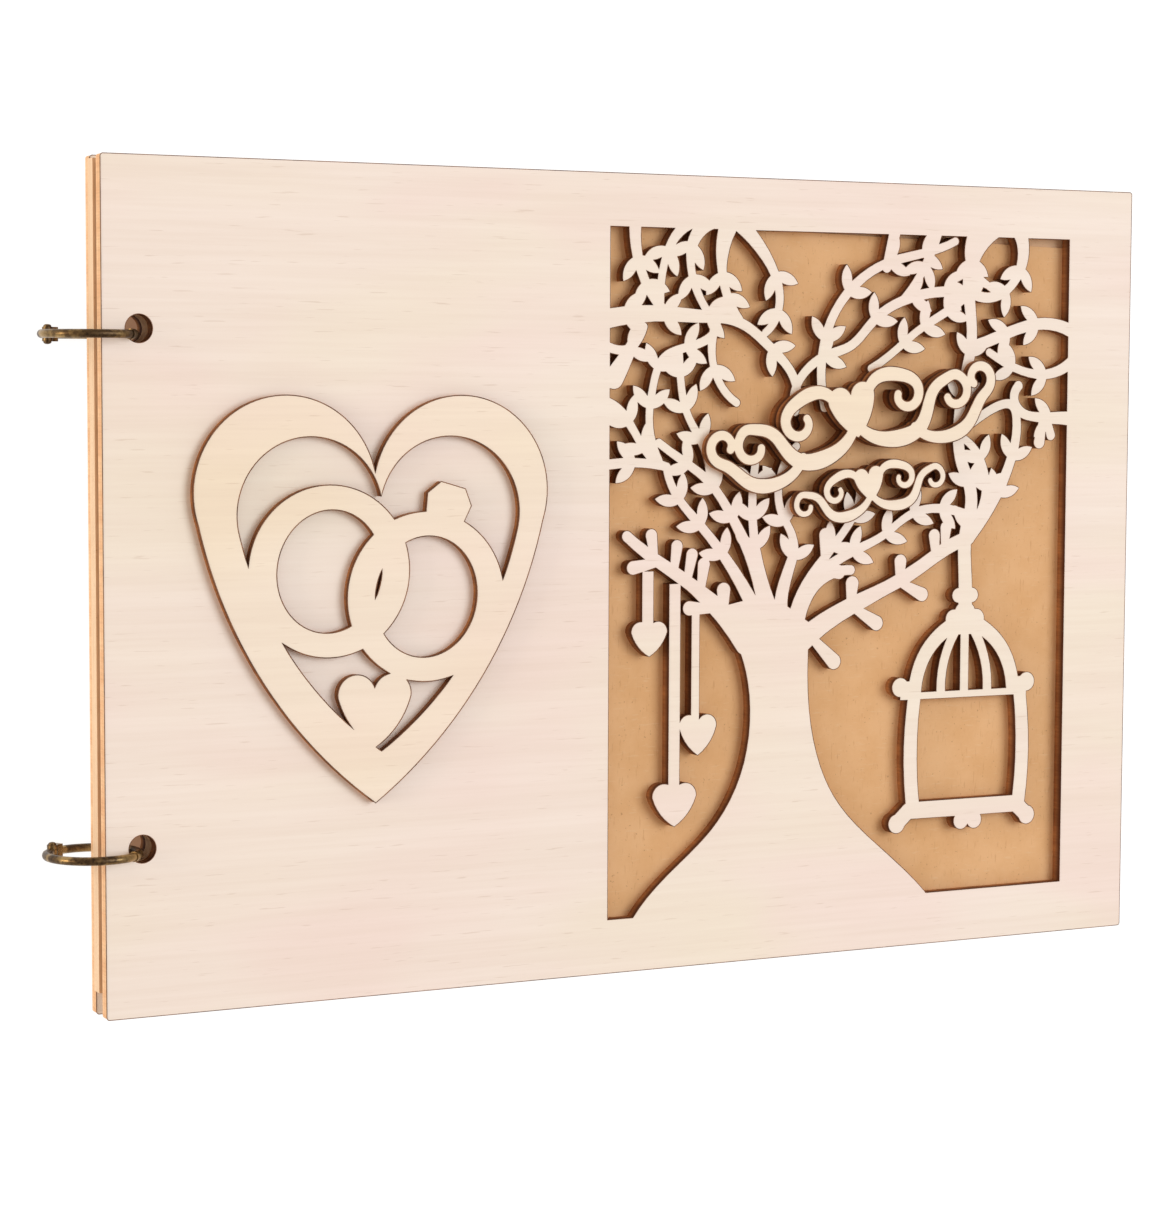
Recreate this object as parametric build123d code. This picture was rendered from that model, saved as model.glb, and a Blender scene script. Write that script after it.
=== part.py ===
from build123d import *
import os
from math import atan2, cos, degrees, hypot, radians, sin

os.makedirs("parts", exist_ok=True)

# A ring-bound wedding guest book lying closed on its back cover, front cover up.
# X runs across the covers from the spine to the fore-edge, Y up the page, Z up out of the front cover.
# The origin is under the middle of the whole book with its rings, on the surface that it lies on.

# ---- covers ----
cover_width = 260.0
cover_height = 180.0
cover_thickness = 3.0
cover_corner = 0.6
hole_diameter = 6.0
hole_from_spine = 8.0
hole_from_middle = 54.3

# ---- pages and the card behind the window ----
page_count = 10
page_width = 258.0
page_height = 174.0
page_thickness = 0.3
page_pitch = 0.34
page_past_spine = 0.5
page_below_head = 0.8
layer_gap = 0.1
card_width = 142.0
card_height = 164.0
card_thickness = 0.5
card_turn = -1.6
card_centre = (48.5, -4.0)

# ---- window in the front cover ----
window_left = -12.5
window_right = 111.8
window_bottom = -77.8
window_top = 78.2
smallest_gap = 0.7
frame_overlap = 2.0

# ---- raised pieces glued to the front cover ----
ornament_thickness = 2.0
flourish_thickness = 2.0

# ---- book rings ----
wire_diameter = 1.8
ring_radius = 9.6
ring_axis_past_spine = 1.2
ring_sag = 1.2
knuckle_angle = 134.0
snap_angle = -46.0
knuckle_radius = 1.1
knuckle_height = 3.0
tongue_height = 1.0
running_gap = 0.1
strap_length = 2.6
pin_diameter = 1.0
pin_running_gap = 0.05
snap_end_gap = 0.05
pin_head_diameter = 1.7
pin_head_height = 0.25
collar_diameter = 2.2
collar_length = 1.8
socket_diameter = 1.2
socket_depth = 1.6
nub_diameter = 0.9
nub_length = 1.3

# ---- places that follow from them ----
page_block = page_count * page_pitch
book_thickness = 2 * cover_thickness + 2 * layer_gap + page_block + card_thickness
ring_outer_radius = ring_radius + wire_diameter / 2
mid_z = ring_outer_radius
back_z = mid_z - book_thickness / 2
page_z = back_z + cover_thickness + layer_gap
front_z = mid_z + book_thickness / 2 - cover_thickness
card_z = front_z - card_thickness
ring_axis_x = -cover_width / 2 - ring_axis_past_spine
book_shift = (ring_outer_radius + ring_axis_past_spine) / 2
hole_x = -cover_width / 2 + hole_from_spine
hole_places = [(hole_x, hole_from_middle), (hole_x, -hole_from_middle)]


# ---------------------------------------------------------------- flat shapes

def unit(x, y):
    """The same direction, one long."""
    length = hypot(x, y)
    return x / length, y / length


def closed(lines):
    """The face inside a closed run of lines."""
    return make_face(Wire([edge for line in lines for edge in line.edges()]))


def stroke(points, widths, grow=0.0):
    """A band along a smooth line through the points, with a width at each of them."""
    line = Spline(*points) if len(points) > 2 else Line(*points)
    steps = 2 * len(points) - 1
    left, right = [], []
    for step in range(steps):
        along = step / (steps - 1)
        place = line @ along
        ahead = line % along
        span = along * (len(widths) - 1)
        low = min(int(span), len(widths) - 2)
        width = widths[low] + (widths[low + 1] - widths[low]) * (span - low)
        half = width / 2 + grow
        left.append((place.X - ahead.Y * half, place.Y + ahead.X * half))
        right.append((place.X + ahead.Y * half, place.Y - ahead.X * half))
    tip = line @ 1
    reach = line % 1
    end_half = widths[-1] / 2 + grow
    nose = (tip.X + reach.X * end_half, tip.Y + reach.Y * end_half)
    edges = [Spline(*left), ThreePointArc(left[-1], nose, right[-1]), Spline(*reversed(right))]
    tail = line @ 0
    start = line % 0
    start_half = widths[0] / 2 + grow
    heel = (tail.X - start.X * start_half, tail.Y - start.Y * start_half)
    edges.append(ThreePointArc(right[0], heel, left[0]))
    return closed(edges)


def petal(base, tip, width, neck=2.0):
    """A leaf: narrow where it grows from the twig, broad and round towards its tip."""
    ahead = unit(tip[0] - base[0], tip[1] - base[1])
    round_end = width / 2
    centre = (tip[0] - ahead[0] * round_end, tip[1] - ahead[1] * round_end)
    side = (-ahead[1], ahead[0])
    corners = []
    for place, half in ((base, neck / 2), (centre, round_end)):
        corners.append((place[0] + side[0] * half, place[1] + side[1] * half))
        corners.append((place[0] - side[0] * half, place[1] - side[1] * half))
    edges = [
        Line(corners[0], corners[2]),
        ThreePointArc(corners[2], tip, corners[3]),
        Line(corners[3], corners[1]),
        Line(corners[1], corners[0]),
    ]
    return closed(edges)


def blade(base, tip, width):
    """A leaf with two curved sides that meet in a point at both ends."""
    ahead = unit(tip[0] - base[0], tip[1] - base[1])
    widest = ((base[0] + tip[0]) / 2, (base[1] + tip[1]) / 2)
    left = (widest[0] - ahead[1] * width / 2, widest[1] + ahead[0] * width / 2)
    right = (widest[0] + ahead[1] * width / 2, widest[1] - ahead[0] * width / 2)
    return closed([ThreePointArc(base, left, tip), ThreePointArc(tip, right, base)])


def heart(centre, width, height, turn=0.0):
    """A solid heart; the centre is the middle of its box."""
    half = width / 2
    top = height / 2
    notch = (0.0, top * 0.62)
    crown = (half * 0.52, top)
    shoulder = (half, top * 0.38)
    tip = (0.0, -top)
    right = [
        ThreePointArc(notch, (crown[0] * 0.98, crown[1]), shoulder),
        ThreePointArc(shoulder, (half * 0.66, -top * 0.36), tip),
    ]
    left = [edge.mirror(Plane.YZ) for edge in right]
    face = closed(right + left)
    return Pos(*centre) * Rot(0, 0, turn) * face


def disc(centre, diameter):
    return Pos(*centre) * Circle(diameter / 2)


def bar(left, bottom, right, top):
    """An upright rectangle between two corners."""
    return Pos((left + right) / 2, (bottom + top) / 2) * Rectangle(right - left, top - bottom)


def plate(shape, thickness, z):
    """A flat shape made solid, standing on height z."""
    return Pos(0, 0, z) * extrude(shape, amount=thickness)


def joined(faces):
    """One flat shape out of many that overlap."""
    first, *others = faces
    return first.fuse(*others)


# ---------------------------------------------------------------- the tree in the window

leaf_length = 6.8
leaf_width = 2.9
leaf_lean = 44.0


def leaves_along(points, stations, length=leaf_length, width=leaf_width):
    """Pairs of leaves that lean forward on both sides of a twig."""
    line = Spline(*points) if len(points) > 2 else Line(*points)
    found = []
    for station in stations:
        place = line @ station
        ahead = line % station
        heading = atan2(ahead.Y, ahead.X)
        for hand in (-1, 1):
            lean = heading + hand * radians(leaf_lean)
            tip = (place.X + length * cos(lean), place.Y + length * sin(lean))
            found.append(blade((place.X, place.Y), tip, width))
    return found


# each twig: its line from where it grows, its widths, and where along it a pair of leaves grows
twigs = [
    # left of the trunk
    ([(23, -16), (15, -7.5), (8, -2), (1, 2.5), (-8, 9)], (6, 3.2, 2.6), ()),
    ([(27, -12), (22, -3), (15, 6.5), (10, 12), (5, 17.5), (2, 24.5)], (4, 2.4, 2), (0.42, 0.62, 0.8)),
    ([(2, 24.5), (-4, 29), (-8, 35), (-14, 39)], (2.2, 2, 3), (0.3, 0.62)),
    ([(28, -8), (24, 4), (19, 13), (13, 21), (6, 26), (0, 30)], (4, 2.4, 2), (0.45, 0.62, 0.8)),
    ([(30, -10), (26, 2), (24.5, 12), (24.5, 20), (25.5, 27)], (4, 2.4, 2), (0.42, 0.6, 0.8)),
    ([(13, 21), (11, 30), (7, 37), (5.5, 44), (5, 51)], (2.2, 2, 2), (0.3, 0.55, 0.8)),
    ([(0, 26), (-2.5, 35), (-1.5, 43), (1, 49), (9, 52), (15, 56)], (2, 2, 2.2), (0.3, 0.52, 0.75)),
    ([(2, 24.5), (-5, 25.5), (-14, 25)], (2, 2.4), (0.5,)),
    # the long branch from the left side of the frame
    ([(-14, 57.5), (0, 59), (11, 58.5), (20, 57.5), (29, 51.5), (35, 45), (35.5, 37)], (4.5, 2.6, 2.2),
     (0.08, 0.24, 0.42, 0.72)),
    ([(-14, 52), (-8, 51), (-4, 56)], (2.2, 2), (0.5,)),
    ([(-11.5, 44.5), (-8, 50), (-6, 54)], (5, 2.2), ()),
    ([(15, 58), (13.5, 50), (15, 44.5), (20, 39)], (2.4, 2, 2), (0.5,)),
    # hanging from the head of the frame, left half
    ([(-6.2, 80), (-5.5, 71), (-2.5, 64), (2, 59)], (3.2, 2.4, 2.4), (0.35, 0.6)),
    ([(9, 80), (3, 75), (0.8, 69), (0.2, 60)], (3, 2, 2), (0.4,)),
    ([(13, 80), (8, 73.5), (8.5, 67), (12, 60)], (4, 2.2, 2), (0.3, 0.62)),
    ([(18, 80), (16, 73), (16.5, 66), (20.5, 58)], (5, 2.4, 2.2), (0.5, 0.72)),
    ([(20, 80), (29, 70), (31.2, 63), (27.5, 55)], (4, 2.4, 2), (0.5, 0.78)),
    # up the middle
    ([(33, -12), (34, 0), (35.5, 7), (32, 14), (31.5, 21), (36, 29)], (4, 2.2, 2), (0.35, 0.55, 0.75)),
    ([(36, -12), (43, 2), (49, 9), (53, 16), (52, 22)], (4, 2.2, 2), (0.5, 0.72)),
    ([(43, 0), (52, 4.5), (60, 8), (68, 13), (76, 14), (84, 12)], (2.6, 2, 2.4), (0.2, 0.42, 0.62, 0.8)),
    ([(37, -12), (44, -1.5), (51, 0)], (3, 2.4), ()),
    ([(43.5, 38), (42.5, 48), (45, 58), (51, 66), (60, 71.5), (70, 74), (79, 77)], (2.4, 2.4, 2),
     (0.25, 0.46, 0.68, 0.84)),
    ([(35, 40), (38, 46), (44, 50), (50, 52), (57, 58.5), (65, 63), (74, 65), (84, 65)], (2.2, 2.4, 2.6),
     (0.22, 0.5, 0.7, 0.86)),
    ([(56, 47), (63, 51.5), (69, 56), (76, 60), (83, 65)], (2, 2, 2.4), (0.3, 0.52, 0.75)),
    ([(62.5, 80), (60, 70.5)], (3.2, 2.6), ()),
    ([(74, 80), (70, 70), (64.5, 63)], (3.2, 2.2, 2), (0.45,)),
    # right of the trunk: the low branch and the stem that carries the cage
    ([(37, -17), (50, -9), (60, -4.8), (69, -0.5), (77, 4.2), (84, 7)], (5.5, 3.4, 3.4), ()),
    ([(83, -12), (83, -2), (83, 8), (84.5, 17), (81.5, 25), (80.5, 33), (82, 44), (84, 55), (83, 65),
      (90, 80)], (4, 3.6, 3, 3, 4.4), (0.22, 0.33, 0.55, 0.66, 0.8)),
    ([(83, 6), (91, 16), (95.5, 25), (97.2, 33), (96, 38.2), (89, 37), (80, 30)], (3.4, 2.6, 2),
     (0.25, 0.42)),
    ([(114, 35), (104, 35.5), (97, 38), (97.5, 43)], (3.6, 2.4, 2.6), (0.3,)),
    ([(85, 10), (88.5, 20), (86, 27), (81, 31)], (2.6, 2.2, 2), (0.35, 0.65)),
    ([(114, 50), (104, 45.8), (96, 47.5), (89, 51)], (3, 2.2, 2), (0.35, 0.7)),
    ([(114, 55.5), (101, 57.6), (91, 54.5), (83, 52)], (3.2, 2.8, 3), (0.35, 0.62)),
    ([(97, 80), (98, 72), (94, 66), (85, 64.5)], (4, 2.4, 2.6), (0.35, 0.62)),
    ([(86, 80), (83, 73), (88, 67)], (5, 2.4, 2), (0.5,)),
]

# single leaves of the low branches, each from its twig to its tip, and its width
low_leaves = [
    ((-1, 4), (-2, 10.6), 3.0),
    ((0, 3), (-8, 1.6), 3.2),
    ((4, 0.5), (5, 8), 3.0),
    ((7.5, -1.5), (9, 6), 3.0),
    ((11, -4), (12, 3.8), 3.2),
    ((14, -8), (6.4, -7.6), 3.4),
    ((17, -10), (17, -2), 3.6),
    ((40, -15), (48, -22.6), 3.8),
    ((51, -9), (51.6, -1.4), 3.6),
    ((52, -9), (59.8, -13.6), 3.6),
    ((64.5, -3.5), (64.8, 3.4), 3.4),
    ((65, -3.5), (72.4, -7), 3.4),
    ((74.5, 2.5), (74, 9.2), 3.2),
    ((44, 1), (44, 10), 3.4),
    ((77, 5), (77.5, 11), 3.2),
    ((105, 36), (103.5, 28), 3.2),
    ((106, 35), (107.5, 30), 2.6),
    ((41.5, 0), (49.5, -0.5), 3.4),
]

trunk_left_side = [(-6, -77.8), (4.8, -67), (15, -58), (22, -46), (24.2, -33), (22.5, -21), (14, -8)]
trunk_right_side = [(73, -77.8), (60, -66), (47, -53), (41.2, -39), (39.6, -25), (40, -12)]


trunk_fork = [(24, -6), (34, -8)]
trunk_foot = 3.0


def trunk():
    """The trunk spreads into the foot of the frame, so it is closed below the window's edge."""
    left_foot = (trunk_left_side[0][0] - trunk_foot, trunk_left_side[0][1] - trunk_foot)
    right_foot = (trunk_right_side[0][0] + trunk_foot, trunk_right_side[0][1] - trunk_foot)
    edges = [
        Spline(*trunk_left_side),
        Polyline(trunk_left_side[-1], *trunk_fork, trunk_right_side[-1]),
        Spline(*reversed(trunk_right_side)),
        Polyline(trunk_right_side[0], right_foot, left_foot, trunk_left_side[0]),
    ]
    return closed(edges)


# hanging hearts: the string's middle, its top, its width, then the heart's width, height and middle
hanging_hearts = [
    (-2.6, 1.0, 2.9, 9.2, 8.0, (-2.2, -14.4)),
    (4.35, -2.0, 2.9, 11.4, 10.0, (4.5, -52.6)),
    (9.75, -7.0, 2.1, 9.6, 9.4, (10.5, -36.8)),
]


def hung_hearts():
    """Hearts on their strings, which end behind the middle of each heart."""
    faces = []
    for string_x, string_top, string_width, width, height, middle in hanging_hearts:
        half = string_width / 2
        faces.append(bar(string_x - half, middle[1], string_x + half, string_top))
        faces.append(heart(middle, width, height))
    return faces


# ---------------------------------------------------------------- the birdcage in the window

cage_x = 83.1
cage_crown_y = -13.6
cage_rail_y = -30.4
cage_floor_y = -57.8
crown_bar_half = 4.9
crown_bar_below = 2.6
crown_bar_above = 2.4
middle_bar_width = 2.4
dome_knee_height = 9.0
dome_knee_share = 0.84
dome_head_share = 0.22
bar_foot_sunk = 0.4
rail_half = 17.6
rail_width = 1.7
rail_ball_offset = 18.0
rail_ball_rise = 2.2
rail_block_inner = 14.5
rail_block_top = 3.6
post_bow = 1.0
post_waist_drop = 14.0
post_widths = (3.6, 3.8, 3.8)
foot_ball_offset = 18.6
foot_ball_drop = 2.9
foot_arm_inner = 15.4
foot_arm_width = 4.0
cage_ball_diameter = 4.6
floor_left = 15.8
floor_right = 17.0
floor_below = 2.0
floor_above = 2.1

# balls of the crown: offset from the cage's middle, height over the crown, diameter
crown_balls = [(-3.2, 1.2, 4.6), (0.0, 2.4, 6.0), (3.2, 1.2, 4.6), (-1.9, 6.8, 3.6), (1.9, 6.8, 3.6)]
# bars of the dome: how far out each one meets the rail, and its width
dome_bars = [(-13.9, 3.7), (-6.6, 2.5), (6.6, 2.5), (13.9, 3.7)]
# balls under the floor: offset and diameter
floor_balls = [(-0.4, 4.2), (3.4, 4.2)]
floor_ball_drop = 3.2
# posts: which side, and how far out
cage_posts = [(-1, 14.0), (1, 16.0)]


def cage_side(hand, reach):
    """One bowed post with the ball on its rail and the foot under it."""
    top = (cage_x + hand * reach, cage_rail_y)
    waist = (cage_x + hand * (reach + post_bow), cage_rail_y - post_waist_drop)
    base = (cage_x + hand * reach, cage_floor_y)
    ball_x = cage_x + hand * rail_ball_offset
    inner_x = cage_x + hand * rail_block_inner
    low = cage_rail_y - rail_width / 2
    high = cage_rail_y + rail_block_top
    foot = (cage_x + hand * foot_ball_offset, cage_floor_y - foot_ball_drop)
    arm = (cage_x + hand * foot_arm_inner, cage_floor_y)
    return [
        stroke([top, waist, base], post_widths),
        disc((ball_x, cage_rail_y + rail_ball_rise), cage_ball_diameter),
        bar(min(inner_x, ball_x), low, max(inner_x, ball_x), high),
        disc(foot, cage_ball_diameter),
        stroke([arm, foot], (foot_arm_width, foot_arm_width)),
    ]


def cage():
    """A domed cage on a stem: crown, five bars, rail, two bowed posts, floor and small feet."""
    crown_low = cage_crown_y - crown_bar_below
    crown_high = cage_crown_y + crown_bar_above
    faces = [bar(cage_x - crown_bar_half, crown_low, cage_x + crown_bar_half, crown_high)]
    for offset, height, size in crown_balls:
        faces.append(disc((cage_x + offset, cage_crown_y + height), size))
    half_middle = middle_bar_width / 2
    faces.append(bar(cage_x - half_middle, cage_rail_y, cage_x + half_middle, cage_crown_y))
    for spread, width in dome_bars:
        head = (cage_x + spread * dome_head_share, cage_crown_y)
        knee = (cage_x + spread * dome_knee_share, cage_rail_y + dome_knee_height)
        foot = (cage_x + spread, cage_rail_y + width / 2 - bar_foot_sunk)
        faces.append(stroke([head, knee, foot], (width, width, width)))
    rail_low = cage_rail_y - rail_width / 2
    faces.append(bar(cage_x - rail_half, rail_low, cage_x + rail_half, rail_low + rail_width))
    for hand, reach in cage_posts:
        faces += cage_side(hand, reach)
    floor_low = cage_floor_y - floor_below
    floor_high = cage_floor_y + floor_above
    faces.append(bar(cage_x - floor_left, floor_low, cage_x + floor_right, floor_high))
    for offset, size in floor_balls:
        faces.append(disc((cage_x + offset, cage_floor_y - floor_ball_drop), size))
    return faces


# ---------------------------------------------------------------- flourishes

def curl_points(centre, radius, start, sweep, shrink):
    """Points of a closing curl round a centre, angles in degrees."""
    points = []
    for step in range(curl_steps + 1):
        share = step / curl_steps
        angle = radians(start + sweep * share)
        reach = radius * (1 - shrink * share)
        points.append((centre[0] + reach * cos(angle), centre[1] + reach * sin(angle)))
    return points


# half of the flourish: each scroll's line from the heart outwards, its curl and its widths
# (centre, radius, start angle, sweep, shrink)
half_flourish = [
    ([(0.6, -2.2), (9, -7.4), (18.5, -5.6), (25, 2.6)], ((29, -0.4), 4.8, 140, -300, 0.5),
     (2.6, 4.4, 3.4, 2.6, 2.2)),
    ([(4, 3), (9.5, 8.2), (16, 6.6)], ((15.2, 2.2), 4.4, 76, -270, 0.5), (2.6, 3.6, 2.8, 2.2)),
    ([(16, -6), (23, -10.2), (31.5, -8.6), (37, -3)], ((36.6, 1.4), 3.9, -60, 270, 0.5),
     (2.4, 3.6, 2.8, 2.2)),
]
flourish_heart_size = 13.0
flourish_heart_rise = 1.5
curl_steps = 5


def flourish(centre, turn, scale, scrolls=3):
    """A generic scroll ornament: a heart between two mirrored sets of swelling scrolls.
    The cover has the same shape cut into it, right under the raised one."""
    faces = [heart((0, flourish_heart_rise), flourish_heart_size, flourish_heart_size)]
    for stem, curl, widths in half_flourish[:scrolls]:
        for hand in (-1, 1):
            line = list(stem) + curl_points(*curl)
            faces.append(stroke([(hand * x, y) for x, y in line], widths))
    return [Pos(*centre) * Rot(0, 0, turn) * face.scale(scale) for face in faces]


# centre, turn in degrees, scale and number of scrolls on each side
upper_place = ((50.5, 35.6), 13.0, 0.97, 3)
lower_place = ((55.0, 18.6), 10.0, 0.62, 2)


# ---------------------------------------------------------------- the raised ornament

ornament_centre = (-70.0, -3.4)
ornament_width = 80.0
ornament_height = 88.0
inner_heart_offset = (1.4, 1.2)
inner_heart_smaller = (15.5, 20.0)
band_ring_outer = 37.0
band_ring_inner = 26.5
band_ring_narrower = 2.4
band_ring_turn = -12.0
band_ring_places = [(-80.5, 3.0), (-58.0, -3.0)]
gem_offset = (5.2, 20.1)
gem_turn = -16.0
gem_base_half = 4.4
gem_waist_half = 5.4
gem_table_half = 3.0
gem_base_y = -4.2
gem_waist_y = 1.0
gem_table_y = 4.2
small_heart_centre = (-70.2, -27.4)
small_heart_size = (17.0, 16.0)


def band_ring(place):
    """A wedding ring seen from the front, a little thicker at its sides."""
    opening = Ellipse(band_ring_inner / 2 - band_ring_narrower / 2, band_ring_inner / 2)
    return disc(place, band_ring_outer) - Pos(*place) * Rot(0, 0, band_ring_turn) * opening


def gem():
    """A cut stone from the side: table, waist and a narrower base that stands on the ring."""
    corners = [
        (-gem_base_half, gem_base_y),
        (gem_base_half, gem_base_y),
        (gem_waist_half, gem_waist_y),
        (gem_table_half, gem_table_y),
        (-gem_table_half, gem_table_y),
        (-gem_waist_half, gem_waist_y),
    ]
    ring_place = band_ring_places[1]
    place = (ring_place[0] + gem_offset[0], ring_place[1] + gem_offset[1])
    outline = Polyline(*corners, close=True)
    return Pos(*place) * Rot(0, 0, gem_turn) * closed([outline])


def ornament_faces():
    """A heart-shaped band, thick and thin like a pen stroke, holding two linked wedding rings."""
    outer = heart(ornament_centre, ornament_width, ornament_height)
    inner_x = ornament_centre[0] + inner_heart_offset[0]
    inner_y = ornament_centre[1] + inner_heart_offset[1]
    inner_width = ornament_width - inner_heart_smaller[0]
    inner_height = ornament_height - inner_heart_smaller[1]
    inner = heart((inner_x, inner_y), inner_width, inner_height)
    small = heart(small_heart_centre, *small_heart_size)
    return [outer - inner, gem(), small] + [band_ring(place) for place in band_ring_places]


# ---------------------------------------------------------------- covers

def cover_blank():
    outline = RectangleRounded(cover_width, cover_height, cover_corner)
    for place in hole_places:
        outline -= disc(place, hole_diameter)
    return outline


def tree():
    faces = [trunk()]
    for points, widths, stations in twigs:
        faces.append(stroke(points, widths))
        faces += leaves_along(points, stations)
    for base, tip, width in low_leaves:
        faces.append(petal(base, tip, width))
    faces += hung_hearts()
    faces += cage()
    faces += flourish(*upper_place)
    faces += flourish(*lower_place)
    return faces


def front_cover():
    """Plywood sheet with the window cut through it and the tree left standing in the window."""
    window = bar(window_left, window_bottom, window_right, window_top)
    sheet = cover_blank() - window
    left, right = window_left - frame_overlap, window_right + frame_overlap
    room = bar(left, window_bottom - frame_overlap, right, window_top + frame_overlap)
    grown = joined(tree()) & room
    whole = sheet.fuse(*grown.faces())
    main = max(whole.faces(), key=lambda face: face.area)
    gaps = [gap for gap in main.inner_wires() if Face(gap).area > smallest_gap]
    return plate(Face(main.outer_wire(), gaps), cover_thickness, front_z)


def back_cover():
    return plate(cover_blank(), cover_thickness, back_z)


def ornament():
    return plate(joined(ornament_faces()), ornament_thickness, front_z + cover_thickness)


def raised_flourish(place):
    return plate(joined(flourish(*place)), flourish_thickness, front_z + cover_thickness)


def backing_card():
    """Kraft card glued a little askew behind the window."""
    sheet = Pos(*card_centre) * Rot(0, 0, card_turn) * Rectangle(card_width, card_height)
    return plate(sheet, card_thickness, card_z)


def page(number):
    """Page 1 lies on top, under the front cover."""
    centre_x = -cover_width / 2 - page_past_spine + page_width / 2
    centre_y = cover_height / 2 - page_below_head - page_height / 2
    sheet = Pos(centre_x, centre_y) * Rectangle(page_width, page_height)
    for place in hole_places:
        sheet -= disc(place, hole_diameter)
    return plate(sheet, page_thickness, page_z + (page_count - number) * page_pitch)


# ---------------------------------------------------------------- book rings

# A ring is built about its own axis, which is Y. Angles run from +X towards -Z, so that
# a turn about +Y by an angle brings a point on +X to that angle.
knuckle_clear = knuckle_radius + running_gap
strap_angle = degrees(strap_length / ring_radius)
collar_angle = degrees(collar_length / ring_radius)
socket_angle = degrees(socket_depth / ring_radius)
nub_angle = degrees(nub_length / ring_radius)
nub_root_angle = 1.0
end_gap_angle = degrees(snap_end_gap / ring_radius)


def sector(section, start, sweep):
    """A section on the ring's centreline, swept round the ring's axis."""
    return Rot(0, start, 0) * revolve(Pos(ring_radius, 0) * section, Axis.Y, sweep)


def at_knuckle(diameter, height):
    """A round piece across the ring, centred on the hinge pin."""
    return Rot(0, knuckle_angle, 0) * Pos(ring_radius, 0, 0) * Rot(90, 0, 0) * Cylinder(diameter / 2, height)


def ring_fixed_half():
    """Half a ring through the holes: a forked knuckle at one end, a socket in a collar at the other."""
    half = sector(Circle(wire_diameter / 2), snap_angle, knuckle_angle - snap_angle)
    half -= at_knuckle(2 * knuckle_clear, 2 * knuckle_height)
    strap = sector(Rectangle(wire_diameter, knuckle_height), knuckle_angle - strap_angle, strap_angle)
    fork = strap + at_knuckle(2 * knuckle_radius, knuckle_height)
    fork -= at_knuckle(2 * knuckle_clear, tongue_height + 2 * running_gap)
    half += fork
    half += sector(Circle(collar_diameter / 2), snap_angle, collar_angle)
    half -= sector(Circle(socket_diameter / 2), snap_angle, socket_angle)
    half -= at_knuckle(pin_diameter, 2 * knuckle_height)
    return half


def ring_swinging_half():
    """The half that opens: a tongue in the fork, and a nub that snaps into the socket."""
    sweep = 180.0 - end_gap_angle
    half = sector(Circle(wire_diameter / 2), knuckle_angle, sweep)
    half -= at_knuckle(2 * knuckle_clear, 2 * knuckle_height)
    half += sector(Rectangle(wire_diameter, tongue_height), knuckle_angle, strap_angle)
    half += at_knuckle(2 * knuckle_radius, tongue_height)
    nub_start = knuckle_angle + sweep - nub_root_angle
    half += sector(Circle(nub_diameter / 2), nub_start, nub_angle + nub_root_angle)
    half -= at_knuckle(pin_diameter + 2 * pin_running_gap, 2 * knuckle_height)
    return half


def ring_pin():
    """Rivet through the knuckle with a low head at both ends."""
    pin = at_knuckle(pin_diameter, knuckle_height)
    head = at_knuckle(pin_head_diameter, pin_head_height)
    for hand in (-1, 1):
        pin += Pos(0, hand * (knuckle_height + pin_head_height) / 2, 0) * head
    return pin


# ---------------------------------------------------------------- all the pieces

pieces = {
    "back_cover": back_cover(),
    "front_cover": front_cover(),
    "window_backing_card": backing_card(),
    "heart_and_rings_ornament": ornament(),
    "upper_flourish": raised_flourish(upper_place),
    "lower_flourish": raised_flourish(lower_place),
}
for number in range(1, page_count + 1):
    pieces[f"page_{number:02d}"] = page(number)
for end, side in (("top", 1), ("bottom", -1)):
    middle = Pos(ring_axis_x, side * hole_from_middle - ring_sag, mid_z)
    pieces[f"{end}_ring_fixed_half"] = middle * ring_fixed_half()
    pieces[f"{end}_ring_swinging_half"] = middle * ring_swinging_half()
    pieces[f"{end}_ring_pin"] = middle * ring_pin()

for name, solid in pieces.items():
    export_step(Pos(book_shift, 0, 0) * solid, f"parts/{name}.step")

print("book thickness", round(book_thickness, 2), "ring axis x", ring_axis_x + book_shift, "z", mid_z)
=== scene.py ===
# %% [markdown]
# # A wooden guest book, finished for its picture
# The book is two laser-cut plywood covers, ten kraft pages and two snap rings. The solid model of it is
# already packed, with every part in its place and hinged where the real one is hinged. This lesson gives
# those parts their looks. Nothing here moves or resizes the book: each finish is a small recipe of nodes,
# and what repeats along an edge or round a ring is grown by Geometry Nodes.
#
# We start by loading the packed model.

# %% Load the packed book
import math

import bmesh
import bpy
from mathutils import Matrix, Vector


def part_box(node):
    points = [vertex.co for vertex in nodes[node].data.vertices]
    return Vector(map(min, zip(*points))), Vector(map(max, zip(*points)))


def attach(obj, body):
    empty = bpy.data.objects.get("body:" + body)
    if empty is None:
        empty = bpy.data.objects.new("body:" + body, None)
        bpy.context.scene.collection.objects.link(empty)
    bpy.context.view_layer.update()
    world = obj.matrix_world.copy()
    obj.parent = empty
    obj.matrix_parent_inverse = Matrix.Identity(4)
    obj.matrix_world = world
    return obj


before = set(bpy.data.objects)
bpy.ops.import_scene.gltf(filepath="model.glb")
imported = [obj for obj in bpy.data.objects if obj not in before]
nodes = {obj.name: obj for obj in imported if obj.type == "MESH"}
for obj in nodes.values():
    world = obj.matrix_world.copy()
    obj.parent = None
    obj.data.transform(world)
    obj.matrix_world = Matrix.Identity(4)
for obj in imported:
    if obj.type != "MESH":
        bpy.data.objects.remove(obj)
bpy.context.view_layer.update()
mm = 0.001

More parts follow.
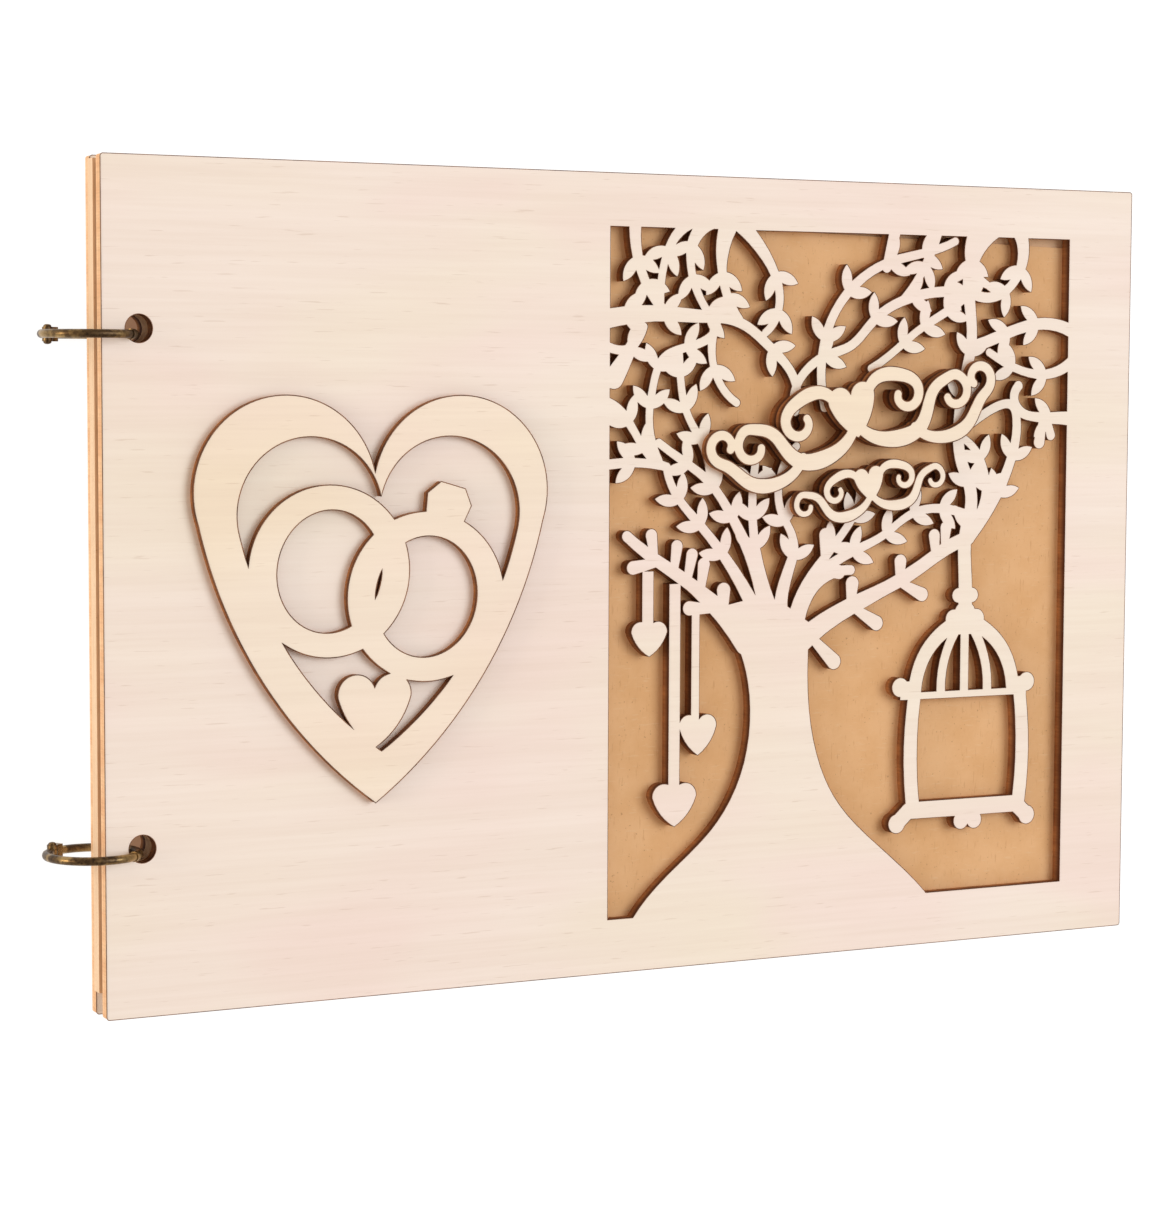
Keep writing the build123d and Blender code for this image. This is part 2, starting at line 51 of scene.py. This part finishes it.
# %% [markdown]
# ## The camera
# A camera is easiest to understand as three turns. This one stands up and to the left of the book and turns
# 27 degrees to the right, tips down by 4, and leans by a quarter of a degree, as a hand-held camera does.
# The order ZXY applies the lean first and the big turn last. A lens of 89 mm keeps the far edge of the
# cover only slightly smaller than the near one.

# %% Place the camera
camera = bpy.data.objects.new("camera", bpy.data.cameras.new("camera"))
bpy.context.scene.collection.objects.link(camera)
camera.location = (-0.31523, 0.0439, 0.61647)
camera.rotation_mode = "ZXY"
camera.rotation_euler = (math.radians(-4.357), math.radians(-26.727), math.radians(0.231))
camera.data.lens = 88.97
camera.data.sensor_width = 36.0
camera.data.clip_start = 0.01
camera.data.clip_end = 20.0
bpy.context.scene.camera = camera
print("camera stands", round(camera.location.length, 3), "m from the book's centre")

# %% [markdown]
# ## Colour and light
# Pale wood on white is easily washed out, so the scene shows colours as they are, with the plain Standard
# view. A colour is written below as a paint chip, with 0 to 255 for red, green and blue, and `paint` turns
# it into the linear numbers that a renderer adds up.
#
# The light is a studio tent: an even warm white glow from all sides, and two lamps. The wide lamp to the
# right draws the soft brown shadows to the left of every branch. It stands about 60 degrees up, so that a
# 3 mm step throws a 2 mm shadow. The low lamp to the left only brightens the walls and the spine.

# %% Mix paint chips
def linear(chip):
    """One channel of a paint chip, 0 to 255, as the renderer's linear value."""
    share = chip / 255.0
    return share / 12.92 if share <= 0.04045 else ((share + 0.055) / 1.055) ** 2.4


def paint(red, green, blue):
    """A paint chip as a colour for a socket."""
    return (linear(red), linear(green), linear(blue), 1.0)


bpy.context.scene.view_settings.view_transform = "Standard"
print("cream wood is", [round(c, 3) for c in paint(246, 232, 219)[:3]])

# %% Hang the lamps
def lamp(name, place, target, width, height, watts, chip):
    """A soft rectangular lamp that looks at a point; its width and height are in metres."""
    light = bpy.data.lights.new(name, "AREA")
    light.shape = "RECTANGLE"
    light.size, light.size_y = width, height
    light.energy = watts
    light.color = paint(*chip)[:3]
    made = bpy.data.objects.new(name, light)
    bpy.context.scene.collection.objects.link(made)
    made.location = place
    made.rotation_euler = (Vector(place) - Vector(target)).to_track_quat("Z", "Y").to_euler()


book_middle = (0, 0, 0.01)
lamp("right_lamp", (1.30, 0.35, 2.20), book_middle, 1.6, 1.6, 38.0, (236, 246, 255))
lamp("left_lamp", (-1.6, 0.10, 0.30), book_middle, 0.9, 0.5, 9.0, (255, 240, 222))
world = bpy.data.worlds.new("tent")
bpy.context.scene.world = world
world.use_nodes = True
glow = world.node_tree.nodes["Background"].inputs
glow["Color"].default_value = paint(255, 240, 228)
glow["Strength"].default_value = 0.53

# %% [markdown]
# ## Sums with sockets
# A finish is mostly arithmetic: this noise plus a tenth of that one, clamped, times a mask. Wiring Math
# nodes by hand hides that arithmetic. `Wire` wraps one socket and lets Python's own `+`, `-` and `*` add
# the Math nodes. Every other node comes from one method, `node`, which takes the node's type, its settings
# and what goes into its sockets. Colours never go through Math nodes, which would turn them grey: `shade`
# mixes them.

# %% Wrap a socket
class Wire:
    """One socket of a node tree, ready for sums written in Python."""

    def __init__(self, tree, socket=None):
        self.tree = tree
        self.socket = socket

    def node(self, kind, settings=None, sockets=None, output=0):
        """Adds a node: first its settings, then the values or links of its sockets."""
        made = self.tree.nodes.new(kind)
        for name, value in (settings or {}).items():
            setattr(made, name, value)
        for name, value in (sockets or {}).items():
            if isinstance(value, Wire):
                self.tree.links.new(value.socket, made.inputs[name])
            else:
                made.inputs[name].default_value = value
        return Wire(self.tree, made.outputs[output] if made.outputs else None)

    def sum(self, operation, first, second):
        return self.node("ShaderNodeMath", {"operation": operation}, {0: first, 1: second})

    def __add__(self, other):
        return self.sum("ADD", self, other)

    def __sub__(self, other):
        return self.sum("SUBTRACT", self, other)

    def __rsub__(self, other):
        return self.sum("SUBTRACT", other, self)

    def __mul__(self, other):
        return self.sum("MULTIPLY", self, other)

    __radd__ = __add__
    __rmul__ = __mul__

    def size(self):
        """The value without its sign."""
        return self.node("ShaderNodeMath", {"operation": "ABSOLUTE"}, {0: self})

    def rise(self, low, high):
        """0 below low, 1 above high and a soft step between; low may be the larger one."""
        return self.node("ShaderNodeMapRange", {"interpolation_type": "SMOOTHSTEP"},
                         {"Value": self, "From Min": low, "From Max": high})

    def shade(self, low, high, how="MIX"):
        """A colour: low where this wire is 0, high where it is 1."""
        return self.node("ShaderNodeMix", {"data_type": "RGBA", "blend_type": how},
                         {0: self, 6: low, 7: high}, 2)

    def noise(self, stretch, detail=3.0, roughness=0.55, shift=(0.0, 0.0, 0.0)):
        """Soft random clouds; stretch is how many fit in a metre along X, Y and Z."""
        spread = self.node("ShaderNodeMapping", None, {"Vector": self, "Location": shift, "Scale": stretch})
        return self.node("ShaderNodeTexNoise", None,
                         {"Vector": spread, "Scale": 1.0, "Detail": detail, "Roughness": roughness})

    def spots(self, stretch):
        """A few small round dots, at most one in each cell; stretch is cells in a metre."""
        spread = self.node("ShaderNodeMapping", None, {"Vector": self, "Scale": stretch})
        dot = self.node("ShaderNodeTexVoronoi", None, {"Vector": spread, "Scale": 1.0})
        lot = self.node("ShaderNodeTexVoronoi", None, {"Vector": spread, "Scale": 1.0}, 1)
        return dot.rise(0.016, 0.008) * lot.axis("X").rise(0.86, 0.88)

    def larger(self, other):
        return self.sum("MAXIMUM", self, other)

    def axis(self, name):
        """One of a vector's three numbers."""
        return self.node("ShaderNodeSeparateXYZ", None, {0: self}, "XYZ".index(name))


def new_finish(name):
    """An empty material, a wire to build from, and the place on the object."""
    material = bpy.data.materials.new(name)
    material.use_nodes = True
    material.node_tree.nodes.clear()
    start = Wire(material.node_tree)
    place = start.node("ShaderNodeTexCoord", output=3)
    return material, start, place


def wall_share(start):
    """0 on a face that looks up or down, 1 on an upright side wall."""
    facing = start.node("ShaderNodeTexCoord", output=1)
    return facing.axis("Z").size().rise(0.75, 0.35)


def show(start, sockets):
    """Ends a finish: one Principled shader into the material's output."""
    skin = start.node("ShaderNodeBsdfPrincipled", None, sockets)
    start.node("ShaderNodeOutputMaterial", None, {"Surface": skin})


print("a Wire has", len([m for m in vars(Wire) if not m.startswith("__")]), "methods of its own")

# %% [markdown]
# ## Plywood
# Thin poplar plywood is nearly white. Its grain runs along the book as long faint hairs, wide clouds of
# straw and rose lie under it, and short dark pores are sprinkled over it. A laser cut it out, so every
# side wall is toasted: darkest at the face where the beam went in, paler further down, with fine upright
# scratches where the beam stepped along. Both kinds of wall are toasted. On top of that, the walls along
# a cover's outer edge are painted paler as painted light, and the walls inside the window darker as painted
# shade.
#
# One recipe makes the covers and the slightly yellower ornaments. It asks which way the surface faces to
# tell a wall from a face, and how high a point is in the sheet to tell the plies apart.

# %% Mix the plywood
def plywood(name, cream, straw, rose, low, high, trimmed):
    """Laser-cut plywood that fills the box from low to high; trimmed is 1 if its outer edge is painted
    paler, as painted light.
    """
    material, start, place = new_finish(name)
    clouds = place.noise((9, 22, 9), 2.0).rise(0.38, 0.66)
    blush = place.noise((14, 30, 14), 2.0, shift=(3.1, 7.7, 0)).rise(0.42, 0.70)
    grain = place.noise((26, 900, 40), 4.0, 0.62)
    bands = place.noise((5, 150, 5), 3.0, 0.6, shift=(1.7, 0.4, 0))
    pores = place.noise((160, 2600, 100), 1.0, 0.4).rise(0.70, 0.80)
    face = (clouds * 0.8).shade(cream, straw)
    face = (blush * 0.8).shade(face, rose)
    streaks = grain.rise(0.30, 0.72) * 0.5 + bands.rise(0.35, 0.68) * 0.5
    face = (streaks * 0.26).shade(face, paint(226, 203, 182))
    face = (pores * 0.22).shade(face, paint(182, 148, 118))
    knots = place.spots((21, 27, 21))
    face = (knots * 0.85).shade(face, paint(74, 50, 38))

    height = (place.axis("Z") - low.z) * (1.0 / (high.z - low.z))
    middle = height.rise(0.26, 0.32) * height.rise(0.74, 0.68)
    toast = place.noise((260, 260, 90), 3.0, 0.6).rise(0.3, 0.7)
    steps = place.noise((2200, 2200, 60), 1.0, 0.5).rise(0.35, 0.7)
    # Painted light and shade on top of the toasting: the walls in the window are painted darker and a
    # cover's outer edge paler.
    toasted_wall_with_painted_shade = toast.shade(paint(150, 92, 50), paint(190, 126, 74))
    pale_wall_with_painted_light = toast.shade(paint(236, 186, 140), paint(250, 210, 166))
    middle_x, middle_y = (low.x + high.x) / 2, (low.y + high.y) / 2
    near_side = (place.axis("X") - middle_x).size() * (2.0 / (high.x - low.x))
    near_end = (place.axis("Y") - middle_y).size() * (2.0 / (high.y - low.y))
    outer = near_side.larger(near_end).rise(0.975, 0.99) * trimmed
    wall = outer.shade(toasted_wall_with_painted_shade, pale_wall_with_painted_light)
    wall = (middle * (0.12 + outer * 0.3)).shade(wall, paint(222, 168, 118))
    wall = (steps * (0.3 - outer * 0.18)).shade(wall, paint(118, 70, 40))
    burnt = height.rise(0.05, 0.95) * 0.96 * (1.0 - outer) + height.rise(0.72, 1.0) * 0.85 * outer
    wall = burnt.shade(wall, paint(66, 31, 15))

    side = wall_share(start)
    hump = grain * 0.6 + bands * 0.4 - pores * 0.5
    bump = start.node("ShaderNodeBump", None, {"Strength": 0.12, "Distance": 0.1 * mm, "Height": hump})
    show(start, {
        "Base Color": side.shade(face, wall),
        "Roughness": 0.52 + grain * 0.12 + side * 0.2,
        "Normal": bump,
        "Specular IOR Level": 0.3,
    })
    return material


cover_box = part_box("front_cover")
back_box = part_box("back_cover")
raised_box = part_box("heart_and_rings_ornament")
cover_chips = (paint(252, 238, 226), paint(250, 238, 218), paint(251, 230, 220))
raised_chips = (paint(253, 238, 218), paint(252, 234, 206), paint(253, 232, 214))
cover_ply = plywood("cover_plywood", *cover_chips, *cover_box, 1.0)
back_ply = plywood("back_plywood", *cover_chips, *back_box, 1.0)
raised_ply = plywood("ornament_plywood", *raised_chips, *raised_box, 0.0)
print("plywood is mixed for covers", round((cover_box[1].z - cover_box[0].z) / mm, 2), "mm thick")

# %% [markdown]
# ## Kraft card and pages
# Kraft is unbleached pulp: brown, matt and full of short fibres, some darker, some paler than the sheet.
# Noise stretched in two directions reads as fibres from close by, and a broad mottle breaks the
# sheet up from further away. The pages are the same pulp, cut by a guillotine, so their edges are striped
# lengthwise. Their edges are also painted paler than their face: painted light on the cut edges.

# %% Mix the kraft
def kraft(name, base, deep, edge):
    """Brown unbleached card or paper."""
    material, start, place = new_finish(name)
    mottle = place.noise((90, 90, 90), 4.0, 0.65).rise(0.30, 0.72)
    broad = place.noise((11, 14, 11), 2.0, 0.5, shift=(5.0, 1.0, 0)).rise(0.3, 0.7)
    along = place.noise((330, 2100, 300), 2.0, 0.5).rise(0.60, 0.74)
    across = place.noise((2100, 330, 300), 2.0, 0.5, shift=(4.0, 4.0, 0)).rise(0.61, 0.75)
    flecks = place.noise((1500, 1500, 1500), 1.0, 0.5).rise(0.70, 0.78)
    sheet = (mottle * 0.55 + broad * 0.3).shade(base, deep)
    sheet = (along * 0.30).shade(sheet, paint(238, 203, 160))
    sheet = (across * 0.30).shade(sheet, paint(186, 134, 84))
    sheet = (flecks * 0.45).shade(sheet, paint(150, 104, 64))
    side = wall_share(start)
    stripe = place.noise((60, 60, 9000), 2.0, 0.5).rise(0.35, 0.65)
    # The cut edge: stripes over the edge chip. For the pages that chip is paler than the face, which is
    # painted light on the cut edges.
    trimmed = (stripe * 0.5).shade(edge, deep)
    bump = start.node("ShaderNodeBump", None,
                      {"Strength": 0.25, "Distance": 0.08 * mm, "Height": mottle + along - across})
    show(start, {
        "Base Color": side.shade(sheet, trimmed),
        "Roughness": 0.82 + mottle * 0.1,
        "Normal": bump,
        "Specular IOR Level": 0.2,
    })
    return material


card_kraft = kraft("kraft_card", paint(236, 188, 138), paint(222, 170, 116), paint(226, 176, 126))
# The pages' edge chip is paler than their face: painted light on the cut edges.
page_kraft = kraft("kraft_paper", paint(236, 198, 160), paint(220, 174, 128), paint(250, 222, 188))
print("kraft is mixed")

# %% [markdown]
# ## Antique bronze
# The snap rings are steel, plated and then darkened. Where fingers and covers rub them, the brown skin is
# worn through to a warmer yellow metal. A broad noise makes that wear, a fine one makes the skin uneven,
# and both also change the roughness, because a worn place is a polished place.

# %% Mix the bronze
def bronze(name):
    """Darkened brass plating, worn in places."""
    material, start, place = new_finish(name)
    worn = place.noise((260, 260, 260), 3.0, 0.6).rise(0.40, 0.66)
    skin = place.noise((1400, 1400, 1400), 3.0, 0.65)
    colour = (skin.rise(0.3, 0.7)).shade(paint(62, 47, 33), paint(100, 78, 52))
    colour = (worn * 0.8).shade(colour, paint(182, 150, 98))
    bump = start.node("ShaderNodeBump", None, {"Strength": 0.2, "Distance": 0.05 * mm, "Height": skin})
    show(start, {
        "Base Color": colour,
        "Metallic": 0.9,
        "Roughness": 0.36 - worn * 0.14 + skin * 0.1,
        "Normal": bump,
    })
    return material


ring_bronze = bronze("antique_bronze")
print("bronze is mixed")

# %% Give every part its finish
finish_of = {
    "back_cover": back_ply,
    "front_cover": cover_ply,
    "window_backing_card": card_kraft,
    "heart_and_rings_ornament": raised_ply,
    "upper_flourish": raised_ply,
    "lower_flourish": raised_ply,
}
for name, part in nodes.items():
    if name.startswith("page_"):
        chosen = page_kraft
    elif "_ring_" in name:
        chosen = ring_bronze
    else:
        chosen = finish_of[name]
    part.data.materials.clear()
    part.data.materials.append(chosen)
print("finished", len(nodes), "parts")

# %% [markdown]
# ## Things that follow a rule: Geometry Nodes
# Two details are not worth modelling by hand. A laser leaves a charred line along the rim of everything it
# cuts, hundreds of small curves in the tree alone. And the rivet of each snap ring is closed by a domed head
# at both ends. Both follow a rule, so a Geometry Nodes tree can grow them.
#
# A tree is wired with the same `Wire` class. Its sizes are named inputs, set through the modifier by each
# socket's identifier. When the tree has run, `grow` turns the result into a plain mesh and throws the
# modifier away: what is left is ordinary geometry.

# %% Make growing trees
def new_growth(name, inputs):
    """An empty Geometry Nodes tree, with a Wire for each of its named inputs."""
    tree = bpy.data.node_groups.new(name, "GeometryNodeTree")
    tree.interface.new_socket("Geometry", in_out="OUTPUT", socket_type="NodeSocketGeometry")
    tree.interface.new_socket("Geometry", in_out="INPUT", socket_type="NodeSocketGeometry")
    for label, kind in inputs:
        tree.interface.new_socket(label, in_out="INPUT", socket_type=kind)
    entry = tree.nodes.new("NodeGroupInput")
    return tree, {socket.name: Wire(tree, socket) for socket in entry.outputs if socket.name}


def end_growth(shape, finish):
    """Makes a tree's result real, gives it its finish and sends it out."""
    real = shape.node("GeometryNodeRealizeInstances", None, {"Geometry": shape})
    dressed = real.node("GeometryNodeSetMaterial", None, {"Geometry": real, "Material": finish})
    dressed.node("NodeGroupOutput", None, {0: dressed})


def grow(name, tree, base, values):
    """Runs a tree on a mesh and returns what grew as a plain mesh object."""
    host = bpy.data.objects.new(name + "_host", base)
    modifier = host.modifiers.new("grow", "NODES")
    modifier.node_group = tree
    for item in tree.interface.items_tree:
        if item.in_out == "INPUT" and item.name in values:
            modifier[item.identifier] = values[item.name]
    bpy.context.scene.collection.objects.link(host)
    evaluated = host.evaluated_get(bpy.context.evaluated_depsgraph_get())
    mesh = bpy.data.meshes.new_from_object(evaluated)
    bpy.data.objects.remove(host)
    piece = bpy.data.objects.new(name, mesh)
    bpy.context.scene.collection.objects.link(piece)
    return piece


def merged_copy(name, parts):
    """One mesh out of copies of packed parts, with their doubled corners merged."""
    shape = bmesh.new()
    for part in parts:
        shape.from_mesh(nodes[part].data)
    bmesh.ops.remove_doubles(shape, verts=shape.verts, dist=0.002 * mm)
    mesh = bpy.data.meshes.new(name)
    shape.to_mesh(mesh)
    shape.free()
    return mesh


print("ready to grow")

# %% [markdown]
# ### The charred rim
# The tree looks for edges that are sharp and lie at the height of the sheet's upper face. Those are the
# rims of every opening and every outline. They become curves, and a very thin four-sided wire is swept
# along them. It is about a fifth of a millimetre wide and half sunk into the wood, and it reads as the burnt
# line that outlines every laser-cut shape. The raised pieces get a slightly thicker one than the covers.

# %% Grow the charred rims
def char_finish():
    """Soot and toasted wood, uneven along the line."""
    material, start, place = new_finish("charred_rim")
    smoke = place.noise((220, 220, 220), 3.0, 0.6).rise(0.32, 0.68)
    show(start, {
        "Base Color": smoke.shade(paint(96, 62, 42), paint(150, 104, 74)),
        "Roughness": 0.8 + smoke * 0.1,
    })
    return material


sharp_angle = 1.0
height_slack = 0.01 * mm
cover_line = 0.085 * mm
ornament_line = 0.12 * mm
rim_inputs = [("Face Height", "NodeSocketFloat"), ("Line Radius", "NodeSocketFloat"),
              ("Finish", "NodeSocketMaterial")]
rim_tree, rim = new_growth("charred_rims", rim_inputs)
plates = rim["Geometry"]
sharp = plates.node("GeometryNodeInputMeshEdgeAngle")
height = plates.node("GeometryNodeInputPosition").axis("Z")
sharp_enough = plates.node("FunctionNodeCompare", {"operation": "GREATER_THAN"}, {0: sharp, 1: sharp_angle})
high_enough = plates.node("FunctionNodeCompare", {"operation": "GREATER_THAN"},
                          {0: height, 1: rim["Face Height"] - height_slack})
on_rim = plates.node("FunctionNodeBooleanMath", {"operation": "AND"}, {0: sharp_enough, 1: high_enough})
outlines = plates.node("GeometryNodeMeshToCurve", None, {"Mesh": plates, "Selection": on_rim})
section = plates.node("GeometryNodeCurvePrimitiveCircle", None,
                      {"Resolution": 4, "Radius": rim["Line Radius"]})
swept = plates.node("GeometryNodeCurveToMesh", None,
                    {"Curve": outlines, "Profile Curve": section, "Fill Caps": True})
end_growth(swept, rim["Finish"])

char = char_finish()
raised_parts = ["heart_and_rings_ornament", "upper_flourish", "lower_flourish"]
rim_jobs = [
    ("cover_charred_rims", ["front_cover"], "front", "cover_plywood", cover_line),
    ("ornament_charred_rims", raised_parts, "front", "ornament_plywood", ornament_line),
    ("back_cover_charred_rims", ["back_cover"], "back", "cover_plywood", cover_line),
]
for name, parts, body, slot, radius in rim_jobs:
    base = merged_copy(name + "_base", parts)
    sizes = {"Face Height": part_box(parts[0])[1].z, "Line Radius": radius, "Finish": char}
    grown = grow(name, rim_tree, base, sizes)
    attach(grown, body)
    print(name, len(grown.data.polygons), "faces")

# %% [markdown]
# ### The rivet heads
# The rivet that hinges a ring has a low flat head at each end. On the real ring a hammer has rounded it.
# The tree stands a small ball on each end of the barrel, presses it flat along the barrel and keeps what
# shows outside: a dome. The ends are found by themselves, as the two ends of the rivet's own box.

# %% Grow the rivet heads
dome_share = 0.46
dome_height = 0.35 * mm
rivet_inputs = [("Middle", "NodeSocketVector"), ("Reach", "NodeSocketFloat"),
                ("Head Radius", "NodeSocketFloat"), ("Head Height", "NodeSocketFloat"),
                ("Finish", "NodeSocketMaterial")]
rivet_tree, rivet = new_growth("rivet_heads", rivet_inputs)
entry = rivet["Geometry"]
ends = entry.node("GeometryNodeMeshLine", {"mode": "END_POINTS"}, {
    "Start Location": entry.node("ShaderNodeCombineXYZ", None, {1: rivet["Reach"]}),
    "Offset": entry.node("ShaderNodeCombineXYZ", None, {1: rivet["Reach"] * -1.0}), "Count": 2})
ball = entry.node("GeometryNodeMeshUVSphere", None, {"Segments": 20, "Rings": 12, "Radius": 1.0})
squeeze = entry.node("ShaderNodeCombineXYZ", None,
                     {0: rivet["Head Radius"], 1: rivet["Head Height"], 2: rivet["Head Radius"]})
heads = entry.node("GeometryNodeInstanceOnPoints", None,
                   {"Points": ends, "Instance": ball, "Scale": squeeze})
placed = entry.node("GeometryNodeTransform", None, {"Geometry": heads, "Translation": rivet["Middle"]})
end_growth(placed, rivet["Finish"])

for end in ("top", "bottom"):
    low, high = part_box(end + "_ring_pin")
    sizes = {"Middle": (low + high) / 2, "Reach": (high.y - low.y) / 2, "Finish": ring_bronze,
             "Head Radius": (high.x - low.x) * dome_share, "Head Height": dome_height}
    domes = grow(end + "_ring_rivet_domes", rivet_tree, bpy.data.meshes.new(end + "_seed"), sizes)
    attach(domes, end + "_ring_fixed")
    print(domes.name, len(domes.data.polygons), "faces", round((high.y - low.y) / mm, 2), "mm apart")

# %% [markdown]
# ## The floor
# The book lies on a white table. A plain white surface would come out grey in the book's own shade, so the
# table glows, like a light table. Under the covers the glow stops and the table is painted and glows a dim
# brown instead. This is painted shade: a contact shadow under the book, which also makes the ring holes show
# dark as on a real book.

# %% Lay the floor
# How far in from the covers' edge the painted shade under the book fades in.
painted_shade_fade = 9 * mm


def table_with_painted_shade(low, high):
    """A white table top that glows, with painted brown shade inside the box from low to high."""
    material, start, place = new_finish("white_table")
    past_side = (place.axis("X") - (low.x + high.x) / 2).size() - (high.x - low.x) / 2
    past_end = (place.axis("Y") - (low.y + high.y) / 2).size() - (high.y - low.y) / 2
    # Painted shade: more than 9 mm under the covers the table is painted dim brown and glows dim brown. It
    # fades to white towards the book's edge.
    outside_painted_shade = past_side.larger(past_end).rise(-painted_shade_fade, -1 * mm)
    show(start, {
        "Base Color": outside_painted_shade.shade(paint(160, 132, 110), paint(120, 120, 120)),
        "Roughness": 0.9,
        "Emission Color": outside_painted_shade.shade(paint(108, 84, 66), paint(255, 255, 255)),
        "Emission Strength": 0.93,
        "Specular IOR Level": 0.0,
    })
    return material


reach = 6.0
corners = [(-reach, -reach, 0), (reach, -reach, 0), (reach, reach, 0), (-reach, reach, 0)]
floor_mesh = bpy.data.meshes.new("floor")
floor_mesh.from_pydata(corners, [], [(0, 1, 2, 3)])
floor_mesh.materials.append(table_with_painted_shade(*back_box))
floor = bpy.data.objects.new("floor", floor_mesh)
bpy.context.scene.collection.objects.link(floor)
print("the floor is", 2 * reach, "m wide")
